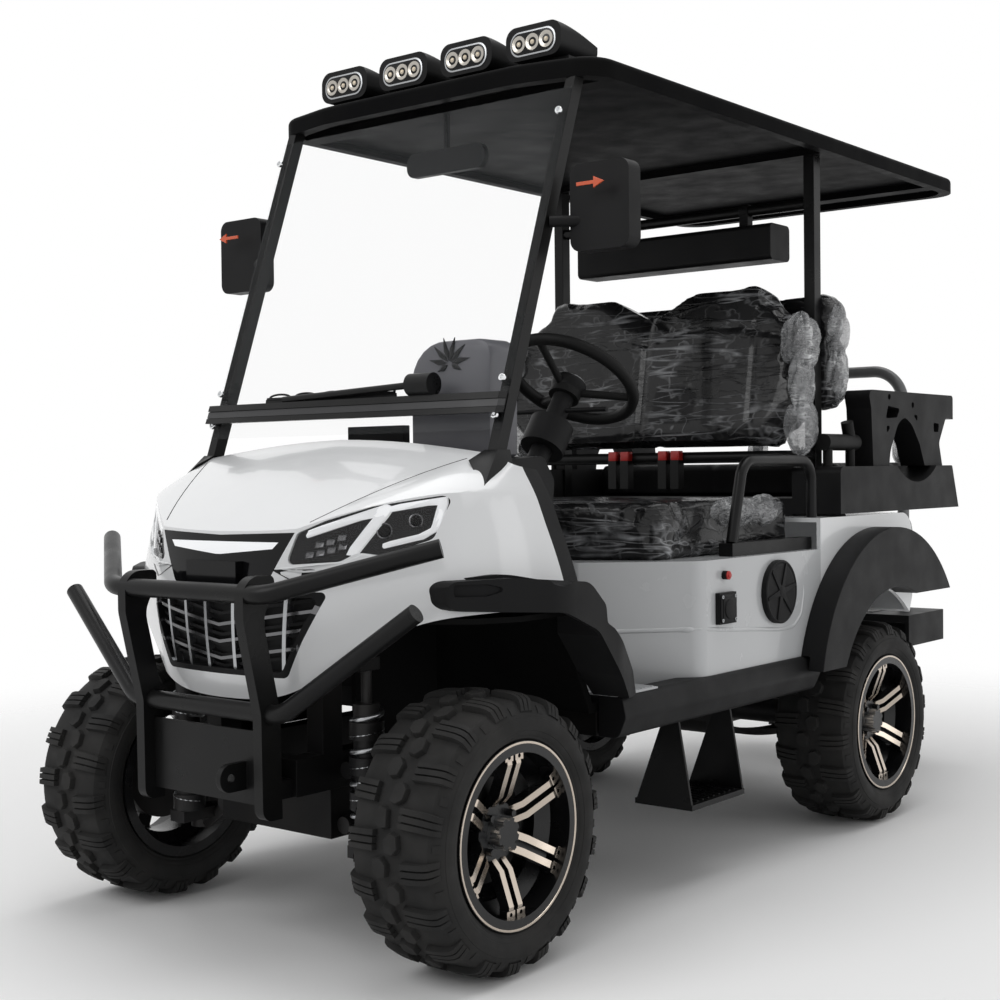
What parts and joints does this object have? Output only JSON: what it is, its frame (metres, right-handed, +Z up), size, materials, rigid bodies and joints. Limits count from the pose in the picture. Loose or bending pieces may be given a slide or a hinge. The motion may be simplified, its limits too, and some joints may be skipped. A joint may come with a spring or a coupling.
{
  "type": "golf cart",
  "caption": "Lifted electric golf cart with front bench, rear-facing seat, roof, windshield, brush guard and all-terrain tyres",
  "frame": {"origin": "bottom centre of the box around the cart, on the ground", "axes": "front faces -Y, left side is +X, +Z is up"},
  "size_m": [1.344, 3.072, 2.108],
  "materials": {
    "frame_black": "satin black paint",
    "running_gear": "dull steel",
    "battery_case": "dark grey case",
    "black_plastic": "fine-grained matte black",
    "pearl_white": "gloss pearl white",
    "lamp_lens": "clear over bright reflectors",
    "clear_pane": "clear",
    "black_metal": "satin black powder coat",
    "roof_black": "gloss black",
    "grey_tube": "satin grey",
    "seat_box_grey": "satin silver grey",
    "red_lens": "red lens",
    "seat_black": "stitched black vinyl",
    "grip_black": "soft black",
    "tyre": "matte black rubber",
    "rim_bronze": "machined bronze over black"
  },
  "bodies": {
    "chassis": {"frame_rails": "frame_black", "front_arms": "frame_black", "front_coilovers": "running_gear", "steering_rack": "running_gear", "rear_axle": "running_gear", "rear_springs": "running_gear", "battery": "battery_case", "floor_pan": "black_plastic", "pedals": "running_gear", "sills": "black_plastic", "front_cowl": "pearl_white", "cowl_rear_trim": "black_plastic", "headlamps": "lamp_lens", "grille": "black_plastic", "nose_band": "black_plastic", "light_strip": "lamp_lens", "dashboard": "black_plastic", "windshield_panes": "clear_pane", "windshield_frame": "black_metal", "wiper": "black_plastic", "roof": "roof_black", "lamp_bar": "black_plastic", "rear_posts": "grey_tube", "sound_bar": "black_plastic", "mirrors": "black_plastic", "seat_box": "seat_box_grey", "side_fittings": "black_plastic", "rear_body": "pearl_white", "tail_lamps": "red_lens", "front_flares": "black_plastic", "rear_flares": "black_plastic", "front_backrest": "seat_black", "seat_frame": "black_metal", "hip_restraints": "black_metal", "rear_seat_base": "black_plastic", "rear_backrest": "seat_black", "rear_armrests": "black_plastic", "rear_handrails": "grip_black", "footrest": "black_plastic", "grab_bar": "grey_tube", "brush_guard": "black_metal", "guard_plate": "black_metal", "side_steps": "black_metal", "arch_liners": "black_plastic", "steering_column": "black_plastic"},
    "knuckle_left": {"knuckle_left": "running_gear"},
    "knuckle_right": {"knuckle_right": "running_gear"},
    "tie_rod": {"tie_rod": "running_gear"},
    "steering_wheel": {"steering_wheel": "grip_black"},
    "front_seat_lid": {"front_cushion": "seat_black"},
    "rear_seat_cushion": {"rear_cushion": "seat_black"},
    "wheel_front_left": {"tyre_front_left": "tyre", "rim_front_left": "rim_bronze"},
    "wheel_front_right": {"tyre_front_right": "tyre", "rim_front_right": "rim_bronze"},
    "wheel_rear_left": {"tyre_rear_left": "tyre", "rim_rear_left": "rim_bronze"},
    "wheel_rear_right": {"tyre_rear_right": "tyre", "rim_rear_right": "rim_bronze"}
  },
  "joints": [
    {"name": "steer_left", "type": "hinge", "parent": "chassis", "child": "knuckle_left", "pos_m": [0.36, -1.176, 0.292], "axis": [0, 0, 1], "range_deg": [-28, 28]},
    {"name": "steer_right", "type": "hinge", "parent": "chassis", "child": "knuckle_right", "pos_m": [-0.36, -1.176, 0.292], "axis": [0, 0, 1], "range_deg": [-28, 28]},
    {"name": "tie_rod_slide", "type": "slide", "parent": "chassis", "child": "tie_rod", "axis": [1, 0, 0], "range_m": [-0.056, 0.056]},
    {"name": "steering_wheel_turn", "type": "hinge", "parent": "chassis", "child": "steering_wheel", "pos_m": [0.25, -0.476, 1.25], "axis": [0, 0.5807, 0.8141], "range_deg": [-421, 421]},
    {"name": "front_seat_lid", "type": "hinge", "parent": "chassis", "child": "front_seat_lid", "pos_m": [0, -0.57805, 0.818], "axis": [1, 0, 0], "range_deg": [0, 33]},
    {"name": "rear_cushion_fold", "type": "hinge", "parent": "chassis", "child": "rear_seat_cushion", "pos_m": [0, 1.2305, 0.957], "axis": [-1, 0, 0], "range_deg": [0, 100]},
    {"name": "spin_front_left", "type": "hinge", "parent": "knuckle_left", "child": "wheel_front_left", "pos_m": [0.5205, -1.176, 0.292], "axis": [1, 0, 0], "continuous": true},
    {"name": "spin_front_right", "type": "hinge", "parent": "knuckle_right", "child": "wheel_front_right", "pos_m": [-0.5205, -1.176, 0.292], "axis": [1, 0, 0], "continuous": true},
    {"name": "spin_rear_left", "type": "hinge", "parent": "chassis", "child": "wheel_rear_left", "pos_m": [0.524, 0.561, 0.292], "axis": [1, 0, 0], "continuous": true},
    {"name": "spin_rear_right", "type": "hinge", "parent": "chassis", "child": "wheel_rear_right", "pos_m": [-0.524, 0.561, 0.292], "axis": [1, 0, 0], "continuous": true}
  ],
  "couplings": [
    {"joint": "steer_right", "follows": "steer_left", "ratio": 1},
    {"joint": "tie_rod_slide", "follows": "steer_left", "m_per_rad": -0.1117},
    {"joint": "steering_wheel_turn", "follows": "steer_left", "ratio": 15}
  ]
}
